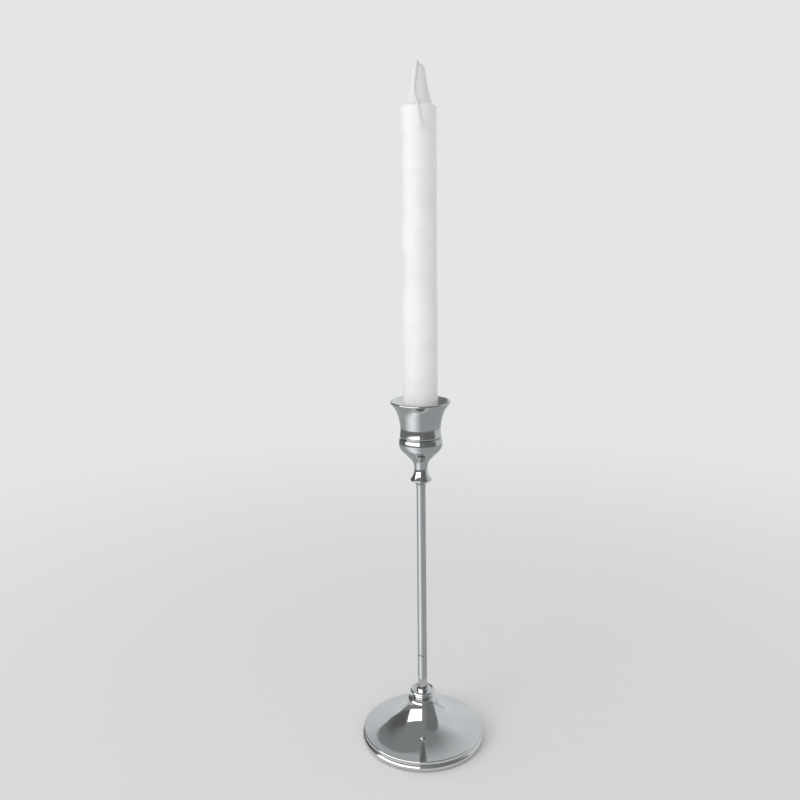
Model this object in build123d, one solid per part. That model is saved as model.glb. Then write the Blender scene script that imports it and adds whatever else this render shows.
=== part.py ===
from build123d import *
import math
import os

# Chrome candlestick for one straight dinner candle: a bell-shaped trumpet foot on a beaded ring,
# a stack of turned collars, a slender two-piece stem on a tie rod, a waisted neck and a tulip cup.
# Millimetres, +Z up, origin at the centre of the underside of the rubber under the foot.

# ---- driving dimensions -------------------------------------------------------------------
base_radius = 40.5           # widest circle of the bead round the foot
bead_top = 5.2               # where the foot shell stands on the bead ring
sheet = 1.1                  # wall of the pressed foot shell
bell_radius = 9.8            # upright wall at the top of the trumpet
bell_wall_height = 27.4
bell_height = 30.2           # top of the low dome that closes it
collar_radius = 8.1
stem_foot_radius = 3.08
stem_top_radius = 2.87
stem_joint_height = 59.5
stem_top_height = 173.6
flange_radius = 6.75         # sharp disc under the waisted neck
neck_waist_radius = 4.11
cup_seat_height = 194.1      # top of the neck, where the bowl is screwed on
bowl_radius = 13.7
cup_joint_height = 206.8     # where the sleeve enters the bowl
cup_waist_radius = 12.7
lip_radius = 18.8
lip_height = 229.8
socket_radius = 11.5         # bore that the candle stands in
candle_radius = 11.0
candle_top_radius = 10.75
candle_shoulder_height = 402.2
candle_tip_height = 425.4
wick_radius = 0.75
thread_radius = 2.0          # M4, modelled at its major radius
rod_clearance = 0.1

# ---- fasteners, all M4 --------------------------------------------------------------------
nut_width = 7.0
nut_height = 3.2
washer_radius = 4.5
washer_thickness = 0.8
spring_washer_radius = 3.8
spring_washer_thickness = 0.9
screw_head_radius = 4.0
screw_head_height = 1.9
screw_length = 12.0

# ---- levels and radii worked out from them -------------------------------------------------
rod_hole = thread_radius + rod_clearance
rubber_thickness = 1.2
rim_clearance = 0.6          # the rubber stands the metal this far off the table
skirt_radius = base_radius - 1.1
skirt_inner = skirt_radius - 1.0
ring_inner = base_radius - 3.6
shell_edge_height = bead_top + 2.0
collar_ring_top = bell_height + 1.5
collar_floor = collar_ring_top + 1.4
collar_top = collar_ring_top + 2.8
collar_dish = collar_top - 0.6
ferrule_radius = 4.0
ferrule_top = collar_dish + 1.7
cup_floor = cup_seat_height + 4.6
sleeve_foot = cup_floor + 3.5
spigot_radius = 12.3
washer_seat = cup_floor - 3.0
pocket_ceiling = 10.3        # top of the pocket in the weight that takes the nut
tie_rod_top = cup_seat_height - 10.8
candle_foot = cup_floor + 0.1
os.makedirs("parts", exist_ok=True)


def p(radius, height):
    """A point of a turned outline."""
    return (radius, 0, height)


def turned(*edges):
    """Solid of revolution about the candlestick's axis."""
    return revolve(make_face(edges), Axis.Z)


def ring(inner, outer, low, high):
    """Plain turned ring with small broken outer edges."""
    edge = min(0.15, (high - low) / 4)
    return turned(
        Polyline(
            p(inner, low), p(outer - edge, low), p(outer, low + edge),
            p(outer, high - edge), p(outer - edge, high), p(inner, high), p(inner, low),
        )
    )


def beaded_ring(radius, low, high):
    """Collar with a full-round edge."""
    bead = (high - low) / 2
    return turned(
        Polyline(
            p(radius - bead, high), p(rod_hole, high), p(rod_hole, low), p(radius - bead, low)
        ),
        ThreePointArc(p(radius - bead, low), p(radius, low + bead), p(radius - bead, high)),
    )


# ---- foot ---------------------------------------------------------------------------------
def base_rim():
    """Beaded ring that closes the foot: the bead outside, a spigot inside the shell's skirt."""
    rebate = ring_inner + 1.3
    spigot = skirt_inner - 0.1
    spigot_top = bead_top + 0.8
    return turned(
        Polyline(
            p(spigot, spigot_top), p(ring_inner, spigot_top), p(ring_inner, rubber_thickness),
            p(rebate, rubber_thickness), p(rebate, rim_clearance), p(base_radius - 1.3, rim_clearance),
        ),
        ThreePointArc(
            p(base_radius - 1.3, rim_clearance),
            p(base_radius, (rim_clearance + bead_top) / 2),
            p(skirt_radius - 0.7, bead_top),
        ),
        Polyline(p(skirt_radius - 0.7, bead_top), p(spigot, bead_top), p(spigot, spigot_top)),
    )


def base_shell():
    """Pressed trumpet: a short skirt on the bead ring, sweeping up to a small domed bell."""
    fold = 0.7
    edge_top = shell_edge_height + 0.15
    inner_edge = shell_edge_height - sheet + 0.2
    dome_start = 6.3
    inner_top = bell_height - sheet
    return turned(
        Polyline(p(rod_hole, inner_top), p(rod_hole, bell_height), p(dome_start, bell_height)),
        Bezier(
            p(dome_start, bell_height), p(8.4, bell_height - 0.4),
            p(bell_radius - 0.3, bell_wall_height + 1.7), p(bell_radius, bell_wall_height),
        ),
        Bezier(
            p(bell_radius, bell_wall_height), p(12.5, 12.0),
            p(26.8, 8.7), p(skirt_radius - fold, edge_top),
        ),
        ThreePointArc(
            p(skirt_radius - fold, edge_top), p(skirt_radius - 0.2, edge_top - 0.2),
            p(skirt_radius, edge_top - fold),
        ),
        Polyline(
            p(skirt_radius, edge_top - fold), p(skirt_radius, bead_top + 0.1),
            p(skirt_inner, bead_top + 0.1), p(skirt_inner, inner_edge),
        ),
        Bezier(
            p(skirt_inner, inner_edge), p(25.6, 7.5),
            p(10.9, 11.2), p(bell_radius - sheet, inner_top - 2.6),
        ),
        Bezier(
            p(bell_radius - sheet, inner_top - 2.6), p(bell_radius - sheet - 0.4, inner_top - 0.9),
            p(bell_radius - sheet - 1.8, inner_top), p(dome_start - 1.0, inner_top),
        ),
        Line(p(dome_start - 1.0, inner_top), p(rod_hole, inner_top)),
    )


def base_weight():
    """Cast iron slug that fills the foot, with a boss up into the bell and a pocket for the nut."""
    pocket_radius = 7.5
    outer = ring_inner - 0.4
    edge_height = 5.0
    boss_radius = bell_radius - sheet - 3.6
    boss_top = bell_height - sheet
    return turned(
        Polyline(
            p(rod_hole, pocket_ceiling), p(pocket_radius, pocket_ceiling),
            p(pocket_radius, rubber_thickness), p(outer, rubber_thickness), p(outer, edge_height),
        ),
        Bezier(p(outer, edge_height), p(22.0, 6.0), p(9.5, 9.0), p(boss_radius, boss_top)),
        Polyline(p(boss_radius, boss_top), p(rod_hole, boss_top), p(rod_hole, pocket_ceiling)),
    )


# ---- collars ------------------------------------------------------------------------------
def collar_flange():
    """Widest collar: coved underneath, round edged, dished on top for the stem."""
    cove_radius = 5.5
    edge_low = collar_ring_top + 0.7
    return turned(
        Polyline(
            p(stem_foot_radius, collar_floor), p(rod_hole, collar_floor),
            p(rod_hole, collar_ring_top), p(cove_radius, collar_ring_top),
        ),
        ThreePointArc(
            p(cove_radius, collar_ring_top), p(cove_radius + 0.7, edge_low - 0.2),
            p(collar_radius - 0.7, edge_low),
        ),
        ThreePointArc(
            p(collar_radius - 0.7, edge_low), p(collar_radius, (edge_low + collar_top) / 2 - 0.2),
            p(collar_radius - 1.0, collar_top),
        ),
        ThreePointArc(
            p(collar_radius - 1.0, collar_top), p(collar_radius - 1.6, collar_top - 0.15),
            p(collar_radius - 2.1, collar_dish),
        ),
        Polyline(
            p(collar_radius - 2.1, collar_dish), p(stem_foot_radius, collar_dish),
            p(stem_foot_radius, collar_floor),
        ),
    )


def stem_ferrule():
    """Small round-shouldered sleeve at the stem's foot."""
    round_start = ferrule_top - 0.8
    return turned(
        Polyline(
            p(stem_foot_radius + 0.2, ferrule_top), p(stem_foot_radius, ferrule_top - 0.2),
            p(stem_foot_radius, collar_dish), p(ferrule_radius, collar_dish),
            p(ferrule_radius, round_start),
        ),
        ThreePointArc(
            p(ferrule_radius, round_start), p(ferrule_radius - 0.22, ferrule_top - 0.22),
            p(stem_foot_radius + 0.2, ferrule_top),
        ),
    )


# ---- stem ---------------------------------------------------------------------------------
def stem_radius(height):
    """Outer radius of the gently tapering stem."""
    share = (height - ferrule_top) / (stem_top_height - ferrule_top)
    return stem_foot_radius + share * (stem_top_radius - stem_foot_radius)


def stem_lower_tube():
    """Lower length of the stem, parallel where it stands in the collar and the ferrule."""
    edge = 0.15
    top = stem_joint_height
    return turned(
        Polyline(
            p(rod_hole, collar_floor), p(stem_foot_radius, collar_floor),
            p(stem_foot_radius, ferrule_top), p(stem_radius(top), top - edge),
            p(stem_radius(top) - edge, top), p(rod_hole, top), p(rod_hole, collar_floor),
        )
    )


def stem_upper_tube():
    """Upper length of the stem, butted on the lower one over the tie rod."""
    edge = 0.15
    low = stem_joint_height
    return turned(
        Polyline(
            p(rod_hole, low), p(stem_radius(low) - edge, low), p(stem_radius(low), low + edge),
            p(stem_top_radius, stem_top_height), p(rod_hole, stem_top_height), p(rod_hole, low),
        )
    )


def tie_rod():
    """Studding from the foot's nut up into the neck."""
    return ring(0, thread_radius, 4.0, tie_rod_top)


# ---- neck and cup -------------------------------------------------------------------------
def cup_neck():
    """Turned neck: a sharp disc at the bottom, a waist, and a flare up to the bowl's seat."""
    lip = stem_top_radius + 0.1
    web_top = tie_rod_top + 0.9
    disc = stem_top_height + 5.6
    seat_radius = 7.7
    return turned(
        Polyline(
            p(0, web_top), p(0, tie_rod_top), p(thread_radius, tie_rod_top),
            p(thread_radius, stem_top_height), p(lip, stem_top_height), p(lip, disc - 3.2),
        ),
        Spline(p(lip, disc - 3.2), p(4.2, disc - 1.9), p(flange_radius - 0.3, disc - 0.45)),
        ThreePointArc(
            p(flange_radius - 0.3, disc - 0.45), p(flange_radius, disc),
            p(flange_radius - 0.3, disc + 0.4),
        ),
        Spline(
            p(flange_radius - 0.3, disc + 0.4), p(5.12, disc + 2.6), p(neck_waist_radius, disc + 7.4),
            p(5.3, disc + 12.1), p(seat_radius, cup_seat_height),
        ),
        Polyline(
            p(seat_radius, cup_seat_height), p(thread_radius, cup_seat_height),
            p(thread_radius, web_top), p(0, web_top),
        ),
    )


def cup_bowl():
    """Lower bowl of the tulip: a flat floor for the candle and a rebate for the sleeve."""
    seat = cup_seat_height
    mouth = cup_joint_height - 0.15
    bore = socket_radius + 0.1
    fillet = 1.5
    counterbore = screw_head_radius + 0.2
    return turned(
        Polyline(p(rod_hole, seat), p(7.9, seat), p(8.2, seat + 0.5)),
        Spline(
            p(8.2, seat + 0.5), p(10.4, seat + 2.7), p(12.3, seat + 4.7), p(13.35, seat + 6.8),
            p(bowl_radius, seat + 9.4), p(bowl_radius - 0.25, mouth - 1.15),
        ),
        ThreePointArc(
            p(bowl_radius - 0.25, mouth - 1.15), p(bowl_radius - 0.6, mouth - 0.3),
            p(bowl_radius - 1.1, mouth),
        ),
        Polyline(
            p(bowl_radius - 1.1, mouth), p(spigot_radius, mouth), p(spigot_radius, sleeve_foot),
            p(bore, sleeve_foot), p(bore, cup_floor + fillet),
        ),
        ThreePointArc(
            p(bore, cup_floor + fillet), p(bore - 0.44, cup_floor + 0.44), p(bore - fillet, cup_floor)
        ),
        Polyline(
            p(bore - fillet, cup_floor), p(counterbore, cup_floor), p(counterbore, washer_seat),
            p(rod_hole, washer_seat), p(rod_hole, seat),
        ),
    )


def cup_sleeve():
    """Upper, flaring half of the tulip, its spigot nested in the bowl."""
    joint = cup_joint_height
    waist = joint + 5.9
    return turned(
        Polyline(
            p(socket_radius, waist + 2.0), p(socket_radius, sleeve_foot),
            p(spigot_radius, sleeve_foot), p(spigot_radius, joint), p(spigot_radius + 0.25, joint),
        ),
        ThreePointArc(
            p(spigot_radius + 0.25, joint), p(spigot_radius + 0.65, joint + 0.5),
            p(cup_waist_radius + 0.35, joint + 1.2),
        ),
        Spline(
            p(cup_waist_radius + 0.35, joint + 1.2), p(cup_waist_radius, waist),
            p(13.4, waist + 5.5), p(15.15, waist + 10.9), p(lip_radius - 0.25, lip_height - 1.2),
        ),
        ThreePointArc(
            p(lip_radius - 0.25, lip_height - 1.2), p(lip_radius, lip_height - 0.5),
            p(lip_radius - 0.55, lip_height),
        ),
        Line(p(lip_radius - 0.55, lip_height), p(lip_radius - 1.1, lip_height - 0.25)),
        Spline(
            p(lip_radius - 1.1, lip_height - 0.25), p(14.1, waist + 11.4), p(12.3, waist + 6.0),
            p(socket_radius, waist + 2.0), tangents=[(-0.62, 0, -0.78), (-0.1, 0, -1)],
        ),
    )


# ---- fasteners ----------------------------------------------------------------------------
def spring_washer(low):
    """Split washer: a flat ring with a slanting cut."""
    blank = Circle(spring_washer_radius) - Circle(rod_hole)
    middle = (spring_washer_radius + rod_hole) / 2
    cut = Pos(middle, 0, spring_washer_thickness / 2) * Rot(30, 0, 0) * Box(2.6, 0.5, 3)
    return Pos(0, 0, low) * (extrude(blank, spring_washer_thickness) - cut)


def hex_nut(low):
    """Hexagon nut with its corners turned off."""
    corner = nut_width / math.sqrt(3)
    hexagon = extrude(RegularPolygon(nut_width / 2, 6, major_radius=False), nut_height)
    blank = Pos(0, 0, nut_height / 2) * Cylinder(corner, nut_height)
    turned_blank = chamfer(blank.edges().filter_by(GeomType.CIRCLE), 0.5)
    return Pos(0, 0, low) * ((hexagon & turned_blank) - Cylinder(thread_radius, 3 * nut_height))


def cup_screw():
    """Pan head screw with a cross recess, down through the bowl's floor into the neck."""
    seat = washer_seat + spring_washer_thickness
    top = seat + screw_head_height
    tip = seat - screw_length
    bevel = 0.4
    crown = screw_head_radius - 1.0
    body = turned(
        Polyline(
            p(0, top), p(0, tip), p(thread_radius - bevel, tip), p(thread_radius, tip + bevel),
            p(thread_radius, seat), p(screw_head_radius, seat), p(screw_head_radius, top - 0.9),
        ),
        ThreePointArc(
            p(screw_head_radius, top - 0.9), p(screw_head_radius - 0.3, top - 0.27), p(crown, top)
        ),
        Line(p(crown, top), p(0, top)),
    )
    recess_depth = 1.0
    arm = Pos(0, 0, top) * Box(3.6, 0.8, 2 * recess_depth)
    return body - (arm + Rot(0, 0, 90) * arm)


# ---- candle -------------------------------------------------------------------------------
def candle_wax():
    """Dinner candle: nearly parallel, with a sloping ledge and a round-nosed cone, bored for the wick."""
    foot = 1.5
    shoulder = candle_shoulder_height
    tip = candle_tip_height
    bore_foot = candle_foot + 2.0
    bore_mouth = tip + 0.85
    return turned(
        Polyline(
            p(wick_radius, bore_mouth), p(wick_radius, bore_foot), p(0, bore_foot),
            p(0, candle_foot), p(candle_radius - foot, candle_foot),
        ),
        ThreePointArc(
            p(candle_radius - foot, candle_foot), p(candle_radius - 0.44, candle_foot + 0.44),
            p(candle_radius, candle_foot + foot),
        ),
        Line(p(candle_radius, candle_foot + foot), p(candle_top_radius, shoulder - 0.9)),
        ThreePointArc(
            p(candle_top_radius, shoulder - 0.9), p(candle_top_radius - 0.3, shoulder),
            p(candle_top_radius - 1.0, shoulder + 0.6),
        ),
        Line(p(candle_top_radius - 1.0, shoulder + 0.6), p(8.2, shoulder + 1.6)),
        Spline(
            p(8.2, shoulder + 1.6), p(7.0, tip - 17.3), p(5.6, tip - 11.0), p(4.45, tip - 4.2),
        ),
        ThreePointArc(
            p(4.45, tip - 4.2), p(3.5, tip - 0.9), p(wick_radius, bore_mouth)
        ),
    )


def candle_wick():
    """Braided wick: up the middle of the wax, over the tip and down the front of the cone."""
    lie = candle_radius + wick_radius - 0.05
    tip = candle_tip_height
    shoulder = candle_shoulder_height
    route = [
        (0, 0, candle_foot + 2.0),
        (0, 0, tip + 2.2),
        (-0.9, -4.0, tip + 1.1),
        (-1.2, -5.6, tip - 4.6),
        (-2.4, -6.9, tip - 12.5),
        (-1.9, -8.9, shoulder + 5.0),
        (-1.1, -10.9, shoulder + 2.3),
        (-0.2, -lie, shoulder - 1.1),
        (1.9, -lie, shoulder - 12.4),
    ]
    path = FilletPolyline(*route, radius=[1.1, 1.3, 4, 4, 2, 1.5, 8])
    start = Plane(origin=route[0], z_dir=(0, 0, 1))
    return sweep(start * Circle(wick_radius), path=path)


# ---- one file for each piece --------------------------------------------------------------
spring_washer_low = pocket_ceiling - washer_thickness - spring_washer_thickness
pieces = {
    "base_rubber": ring(0, ring_inner + 1.2, 0, rubber_thickness),
    "base_rim": base_rim(),
    "base_shell": base_shell(),
    "base_weight": base_weight(),
    "tie_rod_nut": hex_nut(spring_washer_low - nut_height),
    "tie_rod_spring_washer": spring_washer(spring_washer_low),
    "tie_rod_washer": ring(rod_hole, washer_radius, pocket_ceiling - washer_thickness, pocket_ceiling),
    "tie_rod": tie_rod(),
    "collar_ring": beaded_ring(6.6, bell_height, collar_ring_top),
    "collar_flange": collar_flange(),
    "stem_ferrule": stem_ferrule(),
    "stem_lower_tube": stem_lower_tube(),
    "stem_upper_tube": stem_upper_tube(),
    "cup_neck": cup_neck(),
    "cup_bowl": cup_bowl(),
    "cup_sleeve": cup_sleeve(),
    "cup_screw": cup_screw(),
    "cup_spring_washer": spring_washer(washer_seat),
    "candle_wax": candle_wax(),
    "candle_wick": candle_wick(),
}
for node, shape in pieces.items():
    export_step(shape, f"parts/{node}.step")
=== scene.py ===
import math

import bpy
import numpy as np
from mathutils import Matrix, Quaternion, Vector, noise


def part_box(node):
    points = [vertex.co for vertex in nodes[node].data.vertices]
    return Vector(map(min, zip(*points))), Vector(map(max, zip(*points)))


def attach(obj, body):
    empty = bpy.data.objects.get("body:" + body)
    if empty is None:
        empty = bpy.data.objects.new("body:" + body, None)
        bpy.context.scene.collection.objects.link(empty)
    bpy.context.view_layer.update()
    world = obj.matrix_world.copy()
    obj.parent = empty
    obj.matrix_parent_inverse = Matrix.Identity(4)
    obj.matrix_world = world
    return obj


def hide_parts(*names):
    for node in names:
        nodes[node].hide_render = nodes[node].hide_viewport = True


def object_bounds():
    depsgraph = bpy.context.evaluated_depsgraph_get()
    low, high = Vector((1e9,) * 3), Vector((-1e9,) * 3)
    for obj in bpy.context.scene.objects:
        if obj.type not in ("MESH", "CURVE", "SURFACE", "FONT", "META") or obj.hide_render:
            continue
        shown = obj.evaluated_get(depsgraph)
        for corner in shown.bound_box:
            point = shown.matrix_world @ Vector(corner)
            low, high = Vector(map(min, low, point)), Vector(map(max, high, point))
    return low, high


# Chrome candlestick with one dinner candle, on a plain pale floor in a soft studio.
# Outlines are in millimetres, (radius, height), and take their levels from the CAD nodes.

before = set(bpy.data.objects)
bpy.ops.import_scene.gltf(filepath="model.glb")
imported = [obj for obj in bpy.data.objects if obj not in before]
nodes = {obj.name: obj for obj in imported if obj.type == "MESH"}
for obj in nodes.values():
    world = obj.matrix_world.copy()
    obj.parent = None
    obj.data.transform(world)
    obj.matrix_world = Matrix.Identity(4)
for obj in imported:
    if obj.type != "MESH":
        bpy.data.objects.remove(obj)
cad_low, cad_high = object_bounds()

MM = 0.001
TURN = 360                   # facets round a turned piece
SHARP = math.radians(38)     # edges sharper than this stay crisp


# ---- outlines -----------------------------------------------------------------------------
def span(node):
    """Lowest height, highest height and outer radius of a CAD node, in millimetres."""
    low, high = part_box(node)
    return low.z / MM, high.z / MM, (high.x - low.x) / 2 / MM


def arc(start, through, end, steps=12):
    """Points along the circular arc through three points."""
    (ax, ay), (bx, by), (cx, cy) = start, through, end
    twice = 2 * (ax * (by - cy) + bx * (cy - ay) + cx * (ay - by))
    a2, b2, c2 = ax * ax + ay * ay, bx * bx + by * by, cx * cx + cy * cy
    x = (a2 * (by - cy) + b2 * (cy - ay) + c2 * (ay - by)) / twice
    y = (a2 * (cx - bx) + b2 * (ax - cx) + c2 * (bx - ax)) / twice
    radius = math.hypot(ax - x, ay - y)
    first = math.atan2(ay - y, ax - x)
    middle = (math.atan2(by - y, bx - x) - first) % math.tau
    turn = (math.atan2(cy - y, cx - x) - first) % math.tau
    if middle > turn:
        turn -= math.tau
    angles = [first + turn * i / steps for i in range(steps + 1)]
    return [(x + radius * math.cos(a), y + radius * math.sin(a)) for a in angles]


def bezier(a, b, c, d, steps=60):
    """Points along a cubic Bezier curve."""
    t = np.linspace(0, 1, steps + 1)[:, None]
    a, b, c, d = (np.array(point, float) for point in (a, b, c, d))
    curve = (1 - t) ** 3 * a + 3 * (1 - t) ** 2 * t * b + 3 * (1 - t) * t * t * c + t**3 * d
    return [tuple(point) for point in curve]


def spline(*points, steps=14):
    """Smooth curve through points: a natural cubic spline over their distance."""
    place = np.array(points, float)
    dist = np.concatenate([[0], np.cumsum(np.linalg.norm(np.diff(place, axis=0), axis=1))])
    step = np.diff(dist)
    count = len(place)
    system, right = np.eye(count), np.zeros(place.shape)
    for i in range(1, count - 1):
        system[i, i - 1 : i + 2] = step[i - 1], 2 * (step[i - 1] + step[i]), step[i]
        rise, fall = (place[i + 1] - place[i]) / step[i], (place[i] - place[i - 1]) / step[i - 1]
        right[i] = 6 * (rise - fall)
    bend = np.linalg.solve(system, right)
    curve = []
    for i in range(count - 1):
        for t in np.linspace(0, 1, steps, endpoint=False):
            a, b, h = 1 - t, t, step[i]
            curve.append(a * place[i] + b * place[i + 1]
                         + ((a**3 - a) * bend[i] + (b**3 - b) * bend[i + 1]) * h * h / 6)
    curve.append(place[-1])
    return [tuple(point) for point in curve]


def joined(*runs):
    """One closed outline from several runs of points, without doubled points."""
    points = []
    for point in (point for run in runs for point in run):
        if not points or math.dist(point, points[-1]) > 1e-4:
            points.append(point)
    if math.dist(points[0], points[-1]) < 1e-4:
        points.pop()
    return points


# ---- turned pieces ------------------------------------------------------------------------
def drift(point, size, seed):
    """Smooth value from -1 to 1 that wanders over about that size, in metres."""
    return noise.noise(point / size + Vector((seed * 7.3, seed * 3.1, seed * 1.7)))


def lathe(name, outline, body, node, material, waves=()):
    """A closed outline turned about the axis, standing for a CAD node. waves are (depth in mm,
    size in mm, seed): how far the surface sinks in and out of its true shape, never proud of it."""
    vertices, faces, rows = [], [], []
    for radius, height in outline:
        first = len(vertices)
        count = TURN if radius > 1e-6 else 1
        rows.append([first + i for i in range(count)])
        for i in range(count):
            angle = math.tau * i / TURN
            vertices.append((radius * MM * math.cos(angle), radius * MM * math.sin(angle), height * MM))
    for row, after in zip(rows, rows[1:] + rows[:1]):
        for i in range(TURN):
            corners = [row[i % len(row)], row[(i + 1) % len(row)],
                       after[(i + 1) % len(after)], after[i % len(after)]]
            corners = list(dict.fromkeys(corners))
            if len(corners) > 2:
                faces.append(corners)
    mesh = bpy.data.meshes.new(name)
    mesh.from_pydata(vertices, [], faces)
    mesh.validate()
    area = sum(a[0] * b[1] - b[0] * a[1] for a, b in zip(outline, outline[1:] + outline[:1]))
    if area < 0:
        mesh.flip_normals()
    sink(mesh, waves)
    return finish_piece(name, mesh, body, [node], material)


def sink(mesh, waves):
    """Presses the surface in by smooth noise along its own normals."""
    if not waves:
        return
    moved = []
    for vertex in mesh.vertices:
        depth = sum(amount * (drift(vertex.co, size * MM, seed) - 1) / 2 for amount, size, seed in waves)
        moved.append(vertex.co + vertex.normal * depth * MM)
    mesh.vertices.foreach_set("co", [number for point in moved for number in point])
    mesh.update()


def finish_piece(name, mesh, body, replaced, material):
    """Makes the object, smooths it between its crisp edges and hands it to the frame."""
    mesh.shade_smooth()
    mesh.set_sharp_from_angle(angle=SHARP)
    piece = bpy.data.objects.new(name, mesh)
    bpy.context.scene.collection.objects.link(piece)
    mesh.materials.append(material)
    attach(piece, body)
    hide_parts(*replaced)
    return piece


# ---- node trees ---------------------------------------------------------------------------
class Graph:
    """Short calls for a node tree. A value may be a number, a colour or another node's output."""

    def __init__(self, tree):
        self.tree = tree
        tree.nodes.clear()

    def node(self, kind, inputs=None, **settings):
        made = self.tree.nodes.new(kind)
        for key, value in settings.items():
            setattr(made, key, value)
        for key, value in (inputs or {}).items():
            self.feed(made.inputs[key], value)
        return made

    def feed(self, socket, value):
        if isinstance(value, bpy.types.NodeSocket):
            self.tree.links.new(value, socket)
        elif value is not None:
            socket.default_value = value

    def math(self, operation, *values, clamp=False):
        inputs = dict(enumerate(values))
        return self.node("ShaderNodeMath", inputs, operation=operation, use_clamp=clamp).outputs[0]

    def ramp(self, value, low, high, to_low=0.0, to_high=1.0, smooth=True):
        kind = "SMOOTHSTEP" if smooth else "LINEAR"
        inputs = {"Value": value, "From Min": low, "From Max": high, "To Min": to_low, "To Max": to_high}
        return self.node("ShaderNodeMapRange", inputs, interpolation_type=kind).outputs["Result"]

    def mix(self, factor, low, high, blend="MIX"):
        made = self.node("ShaderNodeMix", data_type="RGBA", blend_type=blend)
        for socket, value in zip((made.inputs[0], made.inputs[6], made.inputs[7]), (factor, low, high)):
            self.feed(socket, value)
        return made.outputs[2]

    def noise(self, vector, scale, detail=2.0, rough=0.5, **settings):
        inputs = {"Vector": vector, "Scale": scale, "Detail": detail, "Roughness": rough}
        return self.node("ShaderNodeTexNoise", inputs, **settings).outputs["Fac"]

    def mapped(self, vector, scale=(1, 1, 1), place=(0, 0, 0), turn=(0, 0, 0)):
        inputs = {"Vector": vector, "Scale": scale, "Location": place, "Rotation": turn}
        return self.node("ShaderNodeMapping", inputs).outputs["Vector"]

    def bump(self, height, distance, strength=1.0, normal=None):
        inputs = {"Height": height, "Distance": distance, "Strength": strength, "Normal": normal}
        return self.node("ShaderNodeBump", inputs).outputs["Normal"]


def grey(level, tint=(1, 1, 1)):
    """Opaque colour of a linear level and a tint."""
    return (level * tint[0], level * tint[1], level * tint[2], 1)


def linear(red, green, blue):
    """Opaque linear colour from the usual 0-255 display values."""
    levels = [value / 255 for value in (red, green, blue)]
    made = [v / 12.92 if v <= 0.04045 else ((v + 0.055) / 1.055) ** 2.4 for v in levels]
    return (*made, 1)


def material(name):
    made = bpy.data.materials.new(name)
    made.use_nodes = True
    graph = Graph(made.node_tree)
    shader = graph.node("ShaderNodeBsdfPrincipled")
    output = graph.node("ShaderNodeOutputMaterial", {"Surface": shader.outputs[0]})
    place = graph.node("ShaderNodeTexCoord").outputs["Object"]
    return made, graph, shader, output, place


# ---- materials ----------------------------------------------------------------------------
BRIGHT, CUP_STEM_SHINE = 0.66, 0.52     # how much light the plate sends back: polished foot, and a darker setting for the cup, neck and stem


def chrome(name, shine, grain, grain_depth, ripple_size, ripple_depth, seed, satin_bore=False):
    """Chromium plate: faint cloudy smudges, fine wiping scratches, a grain left by the tool, and
    the slight ripple of the metal below. grain is the scale of the tool marks along x, y and z.
    A satin bore is left unpolished on the side that faces the axis."""
    made, g, shader, _, place = material(name)
    own = g.mapped(place, place=(seed * 0.37, seed * 0.11, seed * 0.23))
    cloud = g.noise(own, 42, 4, 0.55)
    film = g.noise(own, 160, 3, 0.6)
    wiped = g.noise(g.mapped(own, scale=(1.0, 1.0, 0.16), turn=(0.3, 0.5, 0.2)), 900, 4, 0.65)
    tone = g.mix(g.ramp(cloud, 0.35, 0.7), grey(shine, (0.975, 0.99, 1.0)), grey(shine * 1.07))
    dull = g.math("MULTIPLY", g.ramp(film, 0.5, 0.78), g.ramp(cloud, 0.4, 0.65))
    tone = g.mix(g.math("MULTIPLY", dull, 0.35), tone, grey(shine * 0.82, (1.0, 0.98, 0.95)))
    rough = g.math("ADD", g.ramp(cloud, 0.3, 0.8, 0.035, 0.075), g.math("MULTIPLY", dull, 0.09))
    rough = g.math("ADD", rough, g.ramp(wiped, 0.62, 0.8, 0.0, 0.03))
    if satin_bore:
        flat = g.node("ShaderNodeVectorMath", {0: place, 1: (1, 1, 0)}, operation="MULTIPLY").outputs[0]
        normal = g.node("ShaderNodeNewGeometry").outputs["True Normal"]
        outward = g.node("ShaderNodeVectorMath", {0: flat, 1: normal}, operation="DOT_PRODUCT")
        inside = g.ramp(outward.outputs["Value"], 1 * MM, -1 * MM)
        rough = g.math("ADD", rough, g.math("MULTIPLY", inside, g.ramp(film, 0.3, 0.7, 0.22, 0.3)))
        tone = g.mix(inside, tone, grey(0.8))
    g.feed(shader.inputs["Base Color"], tone)
    shader.inputs["Metallic"].default_value = 1
    g.feed(shader.inputs["Roughness"], rough)
    tool = g.noise(g.mapped(own, scale=grain), 1.0, 3, 0.6)
    ripple = g.noise(own, 1000 / ripple_size, 2, 0.4)
    normal = g.bump(ripple, ripple_depth * MM)
    normal = g.bump(tool, grain_depth * MM, normal=normal)
    normal = g.bump(g.ramp(wiped, 0.6, 0.8), 0.0004 * MM, 0.6, normal)
    g.feed(shader.inputs["Normal"], normal)
    return made


def plated_steel(name):
    """Zinc plated fasteners: mottled grey with a faint yellow passivation and a fine matt grain."""
    made, g, shader, _, place = material(name)
    patch, fine = g.noise(place, 350, 4, 0.6), g.noise(place, 2600, 3, 0.6)
    tone = g.mix(g.ramp(patch, 0.35, 0.7), grey(0.5, (0.98, 1.0, 1.02)), grey(0.62, (1.0, 0.97, 0.88)))
    tone = g.mix(g.ramp(fine, 0.55, 0.8, 0.0, 0.4), tone, grey(0.32))
    g.feed(shader.inputs["Base Color"], tone)
    shader.inputs["Metallic"].default_value = 1
    g.feed(shader.inputs["Roughness"], g.ramp(fine, 0.2, 0.8, 0.28, 0.48))
    g.feed(shader.inputs["Normal"], g.bump(fine, 0.01 * MM))
    return made


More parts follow.
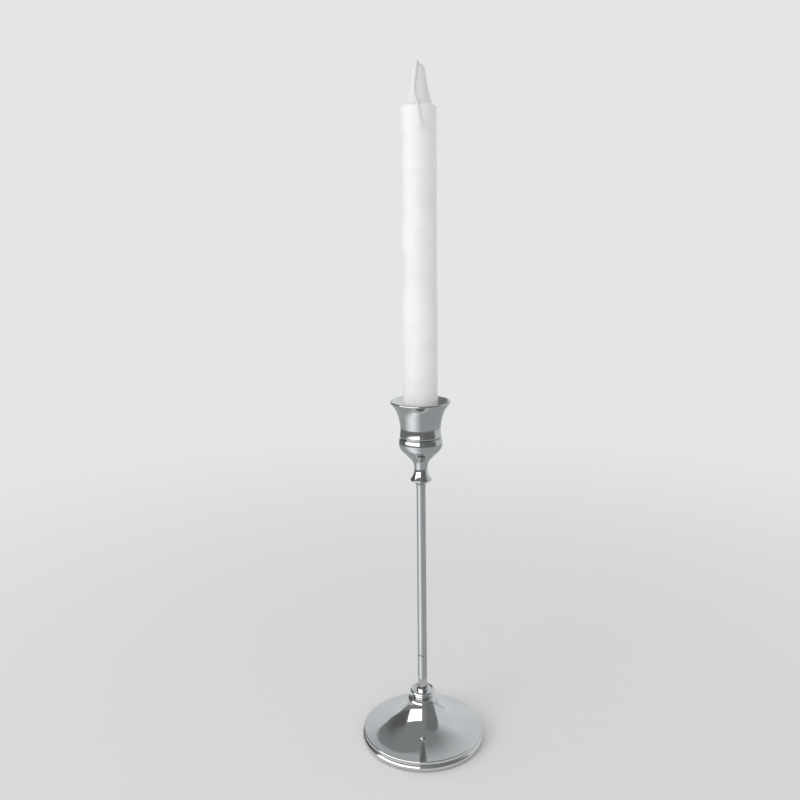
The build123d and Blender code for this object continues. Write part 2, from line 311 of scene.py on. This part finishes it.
def cast_iron(name):
    """Cast slug: dark paint over a sandy skin with small pits and rust-brown rubs."""
    made, g, shader, _, place = material(name)
    sand, patch = g.noise(place, 1400, 5, 0.65), g.noise(place, 120, 4, 0.6)
    pits = g.node("ShaderNodeTexVoronoi", {"Vector": place, "Scale": 420.0}).outputs["Distance"]
    tone = g.mix(g.ramp(patch, 0.4, 0.75), grey(0.045), grey(0.09, (1.0, 0.85, 0.7)))
    tone = g.mix(g.ramp(sand, 0.55, 0.8, 0.0, 0.5), tone, grey(0.16, (1.0, 0.72, 0.5)))
    g.feed(shader.inputs["Base Color"], tone)
    shader.inputs["Metallic"].default_value = 0.35
    g.feed(shader.inputs["Roughness"], g.ramp(sand, 0.3, 0.7, 0.55, 0.85))
    height = g.math("ADD", sand, g.ramp(pits, 0.05, 0.3, 0.0, 0.8))
    g.feed(shader.inputs["Normal"], g.bump(height, 0.12 * MM))
    return made


def matt_rubber(name):
    """Black rubber sheet: fine cloth print, chalky bloom and a little lint."""
    made, g, shader, _, place = material(name)
    weave = [g.math("SINE", g.math("MULTIPLY", g.node("ShaderNodeSeparateXYZ", {0: place}).outputs[axis],
                                   math.tau / (0.9 * MM))) for axis in (0, 1)]
    print_ = g.math("MULTIPLY", *weave)
    bloom, lint = g.noise(place, 60, 4, 0.6), g.noise(place, 1900, 2, 0.7)
    tone = g.mix(g.ramp(bloom, 0.4, 0.75), grey(0.022), grey(0.05, (1.0, 0.99, 0.96)))
    tone = g.mix(g.ramp(lint, 0.7, 0.8, 0.0, 0.6), tone, grey(0.2))
    g.feed(shader.inputs["Base Color"], tone)
    g.feed(shader.inputs["Roughness"], g.ramp(bloom, 0.3, 0.8, 0.72, 0.92))
    g.feed(shader.inputs["Normal"], g.bump(g.math("ADD", print_, lint), 0.05 * MM))
    return made


def candle_wax(name):
    """White paraffin: milky and slightly see-through, satin skin, faint drawing lines along the
    shaft, cloudy bloom and small dents; the drawn-down cone is painted darker, as painted shade."""
    made, g, shader, _, place = material(name)
    cloud = g.noise(place, 55, 4, 0.55)
    streak = g.noise(g.mapped(place, scale=(1.0, 1.0, 0.02)), 420, 3, 0.6)
    fine = g.noise(place, 1500, 3, 0.6)
    dents = g.noise(place, 190, 2, 0.5)
    tone = g.mix(g.ramp(cloud, 0.3, 0.75), grey(0.86, (1.0, 0.995, 0.985)), grey(0.93, (1.0, 1.0, 0.998)))
    tone = g.mix(g.ramp(streak, 0.5, 0.75, 0.0, 0.35), tone, grey(0.8, (1.0, 0.995, 0.98)))
    upright = g.node("ShaderNodeSeparateXYZ", {0: place}).outputs[2]
    # painted shade: the cone above the shoulder is painted darker than the shaft
    painted_cone_shade = g.ramp(upright, 0.4025, 0.4045, 0.0, 0.6)
    tone = g.mix(painted_cone_shade, tone, grey(0.74, (1.0, 0.995, 0.99)))
    g.feed(shader.inputs["Base Color"], tone)
    shader.inputs["Subsurface Weight"].default_value = 0.4
    shader.inputs["Subsurface Radius"].default_value = (1.0, 0.85, 0.7)
    shader.inputs["Subsurface Scale"].default_value = 2.6 * MM
    shader.inputs["IOR"].default_value = 1.44
    rough = g.math("ADD", g.ramp(cloud, 0.3, 0.75, 0.3, 0.42), g.ramp(fine, 0.4, 0.8, 0.0, 0.08))
    g.feed(shader.inputs["Roughness"], rough)
    normal = g.bump(dents, 0.05 * MM)
    normal = g.bump(streak, 0.012 * MM, normal=normal)
    g.feed(shader.inputs["Normal"], g.bump(fine, 0.004 * MM, normal=normal))
    return made


def waxed_cotton(name):
    """Braided cotton soaked in wax: fibres along the strands, glazed where the wax has set."""
    made, g, shader, _, place = material(name)
    fibre = g.noise(g.mapped(place, scale=(1.0, 1.0, 0.3)), 9000, 3, 0.7)
    glaze = g.noise(place, 700, 3, 0.6)
    tone = g.mix(g.ramp(fibre, 0.35, 0.7), grey(0.84, (1.0, 0.99, 0.975)), grey(0.97, (1.0, 0.998, 0.99)))
    g.feed(shader.inputs["Base Color"], tone)
    shader.inputs["Subsurface Weight"].default_value = 0.3
    shader.inputs["Subsurface Radius"].default_value = (1.0, 0.9, 0.8)
    shader.inputs["Subsurface Scale"].default_value = 0.8 * MM
    shader.inputs["Sheen Weight"].default_value = 0.15
    g.feed(shader.inputs["Roughness"], g.ramp(glaze, 0.35, 0.65, 0.35, 0.75))
    g.feed(shader.inputs["Normal"], g.bump(fibre, 0.03 * MM))
    return made


# grain: pressed metal has none to speak of, turned pieces have rings, drawn tube has lines along it
pressed = chrome("chrome_pressed", BRIGHT, (90, 90, 90), 0.0006, 11.0, 0.012, 1)
turned_foot = chrome("chrome_turned_foot", BRIGHT, (60, 60, 2600), 0.0008, 16.0, 0.004, 2)
# cup, neck and stem: chrome set darker than the foot's
turned = chrome("chrome_turned", CUP_STEM_SHINE, (60, 60, 3200), 0.0008, 9.0, 0.003, 3)
spun = chrome("chrome_spun", CUP_STEM_SHINE, (50, 50, 2400), 0.0010, 9.0, 0.006, 4, satin_bore=True)
drawn = chrome("chrome_drawn", CUP_STEM_SHINE, (1500, 1500, 9), 0.0008, 12.0, 0.002, 5)
steel = plated_steel("zinc_plated_steel")
iron = cast_iron("painted_cast_iron")
rubber = matt_rubber("black_rubber")
wax = candle_wax("white_wax")
cotton = waxed_cotton("waxed_cotton")


# ---- foot ---------------------------------------------------------------------------------
def build_base_rim():
    low, high, radius = span("base_rim")
    bead_top = span("base_shell")[0] - 0.1
    inner = radius - 3.6
    spigot = radius - 2.2
    step = low + 0.6
    outline = joined(
        [(spigot, high), (inner, high), (inner, step), (inner + 1.3, step), (inner + 1.3, low)],
        arc((radius - 1.3, low), (radius, (low + bead_top) / 2), (radius - 1.8, bead_top), 28),
        [(spigot, bead_top)],
    )
    lathe("foot_bead_ring", outline, "candlestick", "base_rim", turned_foot, [(0.03, 16, 1)])


def build_base_shell():
    low, high, radius = span("base_shell")
    sheet, bore, fold = 1.1, 2.1, 0.7
    wall, wall_height, dome_start = 9.8, high - 2.8, 6.3
    edge_top = low + 2.05
    inner_edge = edge_top - 0.15 - sheet + 0.2
    inner_top = high - sheet
    outline = joined(
        [(bore, inner_top), (bore, high), (dome_start, high)],
        bezier((dome_start, high), (8.4, high - 0.4), (wall - 0.3, wall_height + 1.7),
               (wall, wall_height), 24),
        bezier((wall, wall_height), (12.5, 12.0), (26.8, 8.7), (radius - fold, edge_top), 100),
        arc((radius - fold, edge_top), (radius - 0.2, edge_top - 0.2), (radius, edge_top - fold), 8),
        [(radius, low + 0.15), (radius - 0.15, low), (radius - 1.0, low), (radius - 1.0, inner_edge)],
        bezier((radius - 1.0, inner_edge), (25.6, 7.5), (10.9, 11.2), (wall - sheet, inner_top - 2.6), 40),
        bezier((wall - sheet, inner_top - 2.6), (wall - sheet - 0.4, inner_top - 0.9),
               (wall - sheet - 1.8, inner_top), (dome_start - 1.0, inner_top), 12),
    )
    lathe("foot_trumpet", outline, "candlestick", "base_shell", pressed,
          [(0.05, 15, 2), (0.016, 6, 3)])


build_base_rim()
build_base_shell()


# ---- collars ------------------------------------------------------------------------------
def build_bead(name, node):
    """Ring with a full-round edge."""
    low, high, radius = span(node)
    half = (high - low) / 2
    outline = joined(
        [(radius - half, high), (2.1, high), (2.1, low)],
        arc((radius - half, low), (radius, low + half), (radius - half, high), 20),
    )
    lathe(name, outline, "candlestick", node, turned_foot)


def build_flange():
    low, top, radius = span("collar_flange")
    edge_low = low + 0.7
    dish = top - 0.6
    outline = joined(
        [(3.08, low + 1.4), (2.1, low + 1.4), (2.1, low)],
        arc((5.5, low), (6.2, edge_low - 0.2), (radius - 0.7, edge_low), 10),
        arc((radius - 0.7, edge_low), (radius, (edge_low + top) / 2 - 0.2), (radius - 1.0, top), 20),
        arc((radius - 1.0, top), (radius - 1.6, top - 0.15), (radius - 2.1, dish), 8),
        [(3.08, dish)],
    )
    lathe("collar_flange_turned", outline, "candlestick", "collar_flange", turned_foot)


def build_ferrule():
    low, high, radius = span("stem_ferrule")
    outline = joined(
        [(3.28, high), (3.08, high - 0.2), (3.08, low), (radius, low)],
        arc((radius, high - 0.8), (radius - 0.22, high - 0.22), (3.28, high), 10),
    )
    lathe("stem_ferrule_turned", outline, "candlestick", "stem_ferrule", turned_foot)


build_bead("collar_ring_beaded", "collar_ring")
build_flange()
build_ferrule()


# ---- stem ---------------------------------------------------------------------------------
def build_stem():
    low, joint, foot = span("stem_lower_tube")
    top = span("stem_upper_tube")[1]
    ferrule_top = span("stem_ferrule")[1]
    tip = 2.87
    bore = 2.1

    def radius(height):
        return foot + (height - ferrule_top) / (top - ferrule_top) * (tip - foot)

    def run(start, end, count):
        return [(radius(start + (end - start) * i / count), start + (end - start) * i / count)
                for i in range(count + 1)]

    edge = 0.08
    lower = joined([(bore, low), (foot, low)], run(ferrule_top, joint - edge, 16),
                   [(radius(joint) - edge * 0.3, joint - edge * 0.3), (radius(joint) - edge, joint),
                    (bore, joint)])
    upper = joined([(bore, joint), (radius(joint) - edge, joint)],
                   [(radius(joint) - edge * 0.3, joint + edge * 0.3)], run(joint + edge, top, 90),
                   [(bore, top)])
    bow = [(0.05, 40, 7), (0.012, 12, 8)]
    lathe("stem_lower_drawn", lower, "candlestick", "stem_lower_tube", drawn, bow)
    lathe("stem_upper_drawn", upper, "candlestick", "stem_upper_tube", drawn, bow)


build_stem()


# ---- neck and cup -------------------------------------------------------------------------
def build_neck():
    low, seat, seat_radius = span("cup_neck")
    thread, lip, flange, waist = 2.0, 2.97, 6.75, 4.11
    web_top = seat - 9.9
    rod_top = web_top - 0.9
    disc = low + 5.6
    outline = joined(
        [(0, web_top), (0, rod_top), (thread, rod_top), (thread, low), (lip, low), (lip, disc - 3.2)],
        spline((lip, disc - 3.2), (4.2, disc - 1.9), (flange - 0.3, disc - 0.45)),
        arc((flange - 0.3, disc - 0.45), (flange, disc), (flange - 0.3, disc + 0.4), 10),
        spline((flange - 0.3, disc + 0.4), (5.12, disc + 2.6), (waist, disc + 7.4),
               (5.3, disc + 12.1), (seat_radius, seat), steps=22),
        [(thread, seat), (thread, web_top)],
    )
    lathe("neck_turned", outline, "candlestick", "cup_neck", turned)


def build_bowl():
    seat, mouth, radius = span("cup_bowl")
    floor = seat + 4.6
    spigot, bore, fillet, counterbore = 12.3, 11.6, 1.5, 4.2
    outline = joined(
        [(2.1, seat), (7.9, seat), (8.2, seat + 0.5)],
        spline((8.2, seat + 0.5), (10.4, seat + 2.7), (12.3, seat + 4.7), (13.35, seat + 6.8),
               (radius, seat + 9.4), (radius - 0.25, mouth - 1.15), steps=20),
        arc((radius - 0.25, mouth - 1.15), (radius - 0.6, mouth - 0.3), (radius - 1.1, mouth), 10),
        [(spigot, mouth), (spigot, floor + 3.5), (bore, floor + 3.5)],
        arc((bore, floor + fillet), (bore - 0.44, floor + 0.44), (bore - fillet, floor), 8),
        [(counterbore, floor), (counterbore, floor - 3.0), (2.1, floor - 3.0)],
    )
    lathe("cup_bowl_spun", outline, "candlestick", "cup_bowl", spun, [(0.02, 14, 5)])


def build_sleeve():
    foot, lip_height, lip = span("cup_sleeve")
    joint = span("cup_bowl")[1] + 0.15
    waist = joint + 5.9
    bore, spigot, waist_radius = 11.5, 12.3, 12.7
    outline = joined(
        [(bore, waist + 2.0), (bore, foot), (spigot, foot), (spigot, joint), (spigot + 0.25, joint)],
        arc((spigot + 0.25, joint), (spigot + 0.65, joint + 0.5), (waist_radius + 0.35, joint + 1.2), 10),
        spline((waist_radius + 0.35, joint + 1.2), (waist_radius, waist), (13.4, waist + 5.5),
               (15.15, waist + 10.9), (lip - 0.25, lip_height - 1.2), steps=24),
        arc((lip - 0.25, lip_height - 1.2), (lip, lip_height - 0.5), (lip - 0.55, lip_height), 12),
        spline((lip - 1.1, lip_height - 0.25), (14.1, waist + 11.4), (12.3, waist + 6.0),
               (bore, waist + 2.0), steps=20),
    )
    lathe("cup_sleeve_spun", outline, "candlestick", "cup_sleeve", spun, [(0.03, 15, 6)])


build_neck()
build_bowl()
build_sleeve()


# ---- candle -------------------------------------------------------------------------------
CONE = 23.2                  # from the ledge round the candle up to where the nose is rounded off
NOSE = 0.85                  # from there up to the mouth of the wick's bore
WICK = 0.75                  # radius of the wick


def build_wax():
    foot, bore_mouth, radius = span("candle_wax")
    tip = bore_mouth - NOSE
    shoulder = tip - CONE
    top_radius = radius - 0.25
    edge = 1.5

    def shaft(start, end, count):
        heights = [start + (end - start) * i / count for i in range(count + 1)]
        return [(radius - 0.25 * (height - foot) / (shoulder - foot), height) for height in heights]

    outline = joined(
        [(WICK, foot + 2.0), (0, foot + 2.0), (0, foot)],
        arc((radius - edge, foot), (radius - 0.44, foot + 0.44), (radius, foot + edge), 8),
        shaft(foot + edge, shoulder - 0.9, 140),
        arc((top_radius, shoulder - 0.9), (top_radius - 0.3, shoulder),
            (top_radius - 1.0, shoulder + 0.6), 8),
        arc((8.75, shoulder + 1.3), (8.3, shoulder + 1.65), (8.1, shoulder + 2.1), 6),
        spline((8.1, shoulder + 2.1), (7.0, tip - 17.3), (5.6, tip - 11.0), (4.45, tip - 4.2), steps=20),
        arc((4.45, tip - 4.2), (3.5, tip - 0.9), (WICK, bore_mouth), 16),
    )
    lathe("candle_wax_dipped", outline, "candle", "candle_wax", wax,
          [(0.12, 30, 9), (0.10, 7, 10)])


def smooth_route(points, step):
    """Points at about that step along a NURBS curve with these control points."""
    curve = bpy.data.curves.new("route", "CURVE")
    curve.dimensions = "3D"
    curve.resolution_u = 24
    line = curve.splines.new("NURBS")
    line.points.add(len(points) - 1)
    for place, point in zip(line.points, points):
        place.co = (*(number * MM for number in point), 1)
    line.order_u = 3
    line.use_endpoint_u = True
    holder = bpy.data.objects.new("route", curve)
    mesh = bpy.data.meshes.new_from_object(holder)
    path = [vertex.co.copy() for vertex in mesh.vertices]
    bpy.data.objects.remove(holder)
    bpy.data.meshes.remove(mesh)
    spaced = [path[0]]
    for point in path:
        if (point - spaced[-1]).length >= step:
            spaced.append(point)
    return spaced


def build_wick():
    """Three strands plaited along the wick's route."""
    foot, bore_mouth, radius = span("candle_wax")
    tip = bore_mouth - NOSE
    shoulder = tip - CONE
    lie = radius + WICK - 0.05
    route = [(0, 0, foot + 2.0), (0, 0, tip - 30), (0, 0, tip + 0.8), (-0.1, -0.2, tip + 2.0),
             (-0.8, -3.1, tip + 1.8), (-1.1, -4.6, tip - 0.4), (-1.5, -5.5, tip - 5.0),
             (-2.6, -6.7, tip - 12.5), (-2.3, -8.5, shoulder + 5.0), (-1.4, -10.2, shoulder + 2.4),
             (-0.6, -lie, shoulder + 0.4), (0.2, -lie, shoulder - 4.0), (1.7, -lie, shoulder - 12.2)]
    path = smooth_route(route, 0.16 * MM)
    length = [0.0]
    for a, b in zip(path, path[1:]):
        length.append(length[-1] + (b - a).length)
    plait, thick, sway, lift = 3.4 * MM, 0.42 * MM, 0.42 * MM, 0.18 * MM
    sides = 10
    vertices, faces = [], []
    side = Vector((1, 0, 0))
    frames = []
    for i, point in enumerate(path):
        ahead = (path[min(i + 1, len(path) - 1)] - path[max(i - 1, 0)]).normalized()
        side = (side - ahead * side.dot(ahead)).normalized()
        frames.append((point, ahead, side.copy(), ahead.cross(side)))
    for strand in range(3):
        first = len(vertices)
        for (point, ahead, right, up), run in zip(frames, length):
            phase = math.tau * (run / plait + strand / 3)
            centre = point + right * math.sin(phase) * sway + up * math.sin(2 * phase) * lift
            slim = thick * (0.85 + 0.15 * drift(point, 2.5 * MM, 20 + strand))
            slim *= 1 + 0.3 * max(0.0, 1 - (length[-1] - run) / (5 * MM))
            for k in range(sides):
                turn = math.tau * k / sides
                vertices.append(centre + (right * math.cos(turn) + up * math.sin(turn)) * slim)
        count = len(frames)
        for i in range(count - 1):
            for k in range(sides):
                a, b = first + i * sides + k, first + i * sides + (k + 1) % sides
                faces.append((a, b, b + sides, a + sides))
        faces.append([first + k for k in reversed(range(sides))])
        faces.append([first + (count - 1) * sides + k for k in range(sides)])
    mesh = bpy.data.meshes.new("candle_wick_plait")
    mesh.from_pydata(vertices, [], faces)
    mesh.validate()
    finish_piece("candle_wick_plait", mesh, "candle", ["candle_wick"], cotton)


build_wax()
build_wick()


# ---- pieces that stay as the CAD made them --------------------------------------------------
kept = {
    "base_rubber": rubber, "base_weight": iron, "tie_rod_nut": steel, "tie_rod_spring_washer": steel,
    "tie_rod_washer": steel, "tie_rod": steel, "cup_screw": steel, "cup_spring_washer": steel,
}
for node, finish in kept.items():
    nodes[node].data.materials.clear()
    nodes[node].data.materials.append(finish)


# ---- floor --------------------------------------------------------------------------------
NEAR_FLOOR = 0.075           # the chrome sees the floor itself this far, then the studio's own tones
FLOOR_REACH = 9.0
BACKDROP = linear(228, 230, 229)


def pale_paper():
    """Plain pale paper: lit near the object, and melting into the backdrop's one tone further out."""
    made = bpy.data.materials.new("pale_paper")
    made.use_nodes = True
    g = Graph(made.node_tree)
    place = g.node("ShaderNodeNewGeometry").outputs["Position"]
    reach = g.node("ShaderNodeVectorMath", {0: place}, operation="LENGTH").outputs["Value"]
    fibre = g.noise(place, 900, 4, 0.6)
    away = g.ramp(reach, 0.12, 0.9)
    shade = g.mix(g.ramp(fibre, 0.3, 0.7), grey(0.88), grey(0.91))
    g.node("ShaderNodeOutputMaterial", {"Surface": g.node("ShaderNodeBsdfPrincipled", {
        "Base Color": g.mix(away, shade, grey(0)), "Roughness": 0.6, "Specular IOR Level": 0.0,
        "Emission Color": BACKDROP, "Emission Strength": away,
        "Normal": g.bump(fibre, 0.01 * MM)}).outputs[0]})
    return made


def disc(name, inner, outer, rings, finish):
    """Flat ring at floor level, finely divided."""
    vertices, faces = [], []
    sides = 96
    for i in range(rings + 1):
        radius = inner + (outer - inner) * i / rings
        for k in range(sides):
            turn = math.tau * k / sides
            vertices.append((radius * math.cos(turn), radius * math.sin(turn), 0))
    for i in range(rings):
        for k in range(sides):
            a, b = i * sides + k, i * sides + (k + 1) % sides
            faces.append((a, a + sides, b + sides, b))
    if not inner:
        faces = faces[sides:]
        faces.append([sides + k for k in range(sides)])
    mesh = bpy.data.meshes.new(name)
    mesh.from_pydata(vertices, [], faces)
    mesh.validate()
    piece = bpy.data.objects.new(name, mesh)
    bpy.context.scene.collection.objects.link(piece)
    mesh.materials.append(finish)
    return piece


paper = pale_paper()
floor_level = cad_low.z
near_floor = disc("floor", 0.0, NEAR_FLOOR, 3, paper)
far_floor = disc("far_floor", NEAR_FLOOR, FLOOR_REACH, 60, paper)
for piece in (near_floor, far_floor):
    piece.location.z = floor_level
far_floor.visible_glossy = False


# ---- studio ---------------------------------------------------------------------------------
def build_studio():
    """A plain soft studio, by direction: azimuth 0 is the camera's side, negative to the left.
    Chrome sees a soft panel front left, pale paper below, behind and to the right, and dimness
    elsewhere. Matt surfaces get an even light, and the camera sees one pale backdrop."""
    world = bpy.data.worlds.new("studio")
    world.use_nodes = True
    g = Graph(world.node_tree)
    way = g.node("ShaderNodeTexCoord").outputs["Generated"]
    part = g.node("ShaderNodeSeparateXYZ", {0: way})
    x, y, z = (part.outputs[i] for i in range(3))
    degree = 180 / math.pi
    azimuth = g.math("MULTIPLY", g.math("ARCTAN2", x, g.math("MULTIPLY", y, -1)), degree)
    height = g.math("MULTIPLY", g.math("ARCSINE", z), degree)

    def between(value, low, high, soft):
        return g.math("MULTIPLY", g.ramp(value, low - soft, low + soft),
                      g.ramp(value, high + soft, high - soft))

    def patch(colour, azimuths, heights, soft, amount=1.0):
        nonlocal sky
        inside = g.math("MULTIPLY", between(azimuth, *azimuths, soft[0]),
                        between(height, *heights, soft[1]))
        sky = g.mix(g.math("MULTIPLY", inside, amount), sky, colour)

    def cool(level):
        """The studio's slightly bluish grey."""
        return grey(level, (0.965, 1.0, 1.015))

    # dim surroundings, darkest low down on the left
    sky = cool(0.28)
    patch(cool(0.13), (-150, -94), (-10, 46), (12, 14))
    # paper hung behind, its left edge leaning back, and duller as it rises
    leaning = g.math("ADD", azimuth, g.math("MULTIPLY", g.math("MAXIMUM", g.math(
        "SUBTRACT", height, 25), 0), 0.62))
    hung = g.math("MULTIPLY", g.ramp(leaning, -151, -154), g.ramp(height, 62, 52))
    sky = g.mix(hung, sky, g.mix(g.ramp(height, 24, 48), cool(0.72), cool(0.48)))
    # paper to the right, duller as it rises
    sky = g.mix(g.ramp(azimuth, 83, 88), sky, g.mix(g.ramp(height, 30, 74), cool(0.76), cool(0.28)))
    # paper below, brightest under the panel
    below = g.mix(between(azimuth, -80, -20, 30), cool(0.5), cool(1.35))
    sky = g.mix(g.ramp(height, -12, -18), sky, below)
    # dim gap between the paper and the panel, and a dim side front right
    patch(cool(0.25), (-130, 20), (-14, -3), (14, 1.5))
    patch(cool(0.19), (20, 82), (-14, 64), (12, 8), 0.85)
    # the soft panel
    patch(grey(3.2), (-86, -6), (-3, 34), (1.5, 1.8))

    # what lights matt surfaces: an even studio, brighter on the panel's side
    facing = g.math("ADD", g.math("MULTIPLY", x, 0.72), g.math("MULTIPLY", y, 0.69))
    even = g.mix(g.ramp(facing, -1, 1, smooth=False), grey(0.94), grey(0.44))
    path = g.node("ShaderNodeLightPath")
    shown = g.mix(path.outputs["Is Glossy Ray"], even, sky)
    shown = g.mix(path.outputs["Is Camera Ray"], shown, BACKDROP)
    g.node("ShaderNodeOutputWorld", {
        "Surface": g.node("ShaderNodeBackground", {"Color": shown}).outputs[0]})
    bpy.context.scene.world = world


build_studio()


# ---- lights and camera --------------------------------------------------------------------
PANEL_PLACE = (-1.3, -1.3, 0.7)
PANEL_SIZE = 0.8
PANEL_POWER = 7.5
CAMERA_PLACE = (0, -0.4828, 0.3268)
CAMERA_LENS = 35.82
CAMERA_PITCH, CAMERA_YAW, CAMERA_ROLL = 11.3, -1.49, -0.75      # degrees; pitch looks down


def soft_light(name, place, target, size, power, colour=(1, 1, 1)):
    """Square soft light that lights surfaces without showing up in the chrome."""
    lamp = bpy.data.lights.new(name, "AREA")
    lamp.shape = "SQUARE"
    lamp.size = size
    lamp.energy = power
    lamp.color = colour
    holder = bpy.data.objects.new(name, lamp)
    holder.location = place
    holder.rotation_mode = "QUATERNION"
    holder.rotation_quaternion = (Vector(target) - Vector(place)).to_track_quat("-Z", "Y")
    holder.visible_glossy = False
    bpy.context.scene.collection.objects.link(holder)


middle = (cad_low + cad_high) / 2
soft_light("panel_light", PANEL_PLACE, middle, PANEL_SIZE, PANEL_POWER, (1.0, 0.995, 0.985))

camera_data = bpy.data.cameras.new("camera")
camera_data.sensor_width = 36
camera_data.lens = CAMERA_LENS
camera = bpy.data.objects.new("camera", camera_data)
bpy.context.scene.collection.objects.link(camera)
pitch, yaw, roll = (math.radians(turn) for turn in (CAMERA_PITCH, CAMERA_YAW, CAMERA_ROLL))
look = Vector((math.sin(yaw) * math.cos(pitch), math.cos(yaw) * math.cos(pitch), -math.sin(pitch)))
camera.location = CAMERA_PLACE
camera.rotation_mode = "QUATERNION"
camera.rotation_quaternion = look.to_track_quat("-Z", "Y") @ Quaternion((0, 0, 1), roll)
camera_data.clip_start, camera_data.clip_end = 0.01, 50
bpy.context.scene.camera = camera
bpy.context.scene.view_settings.view_transform = "Standard"
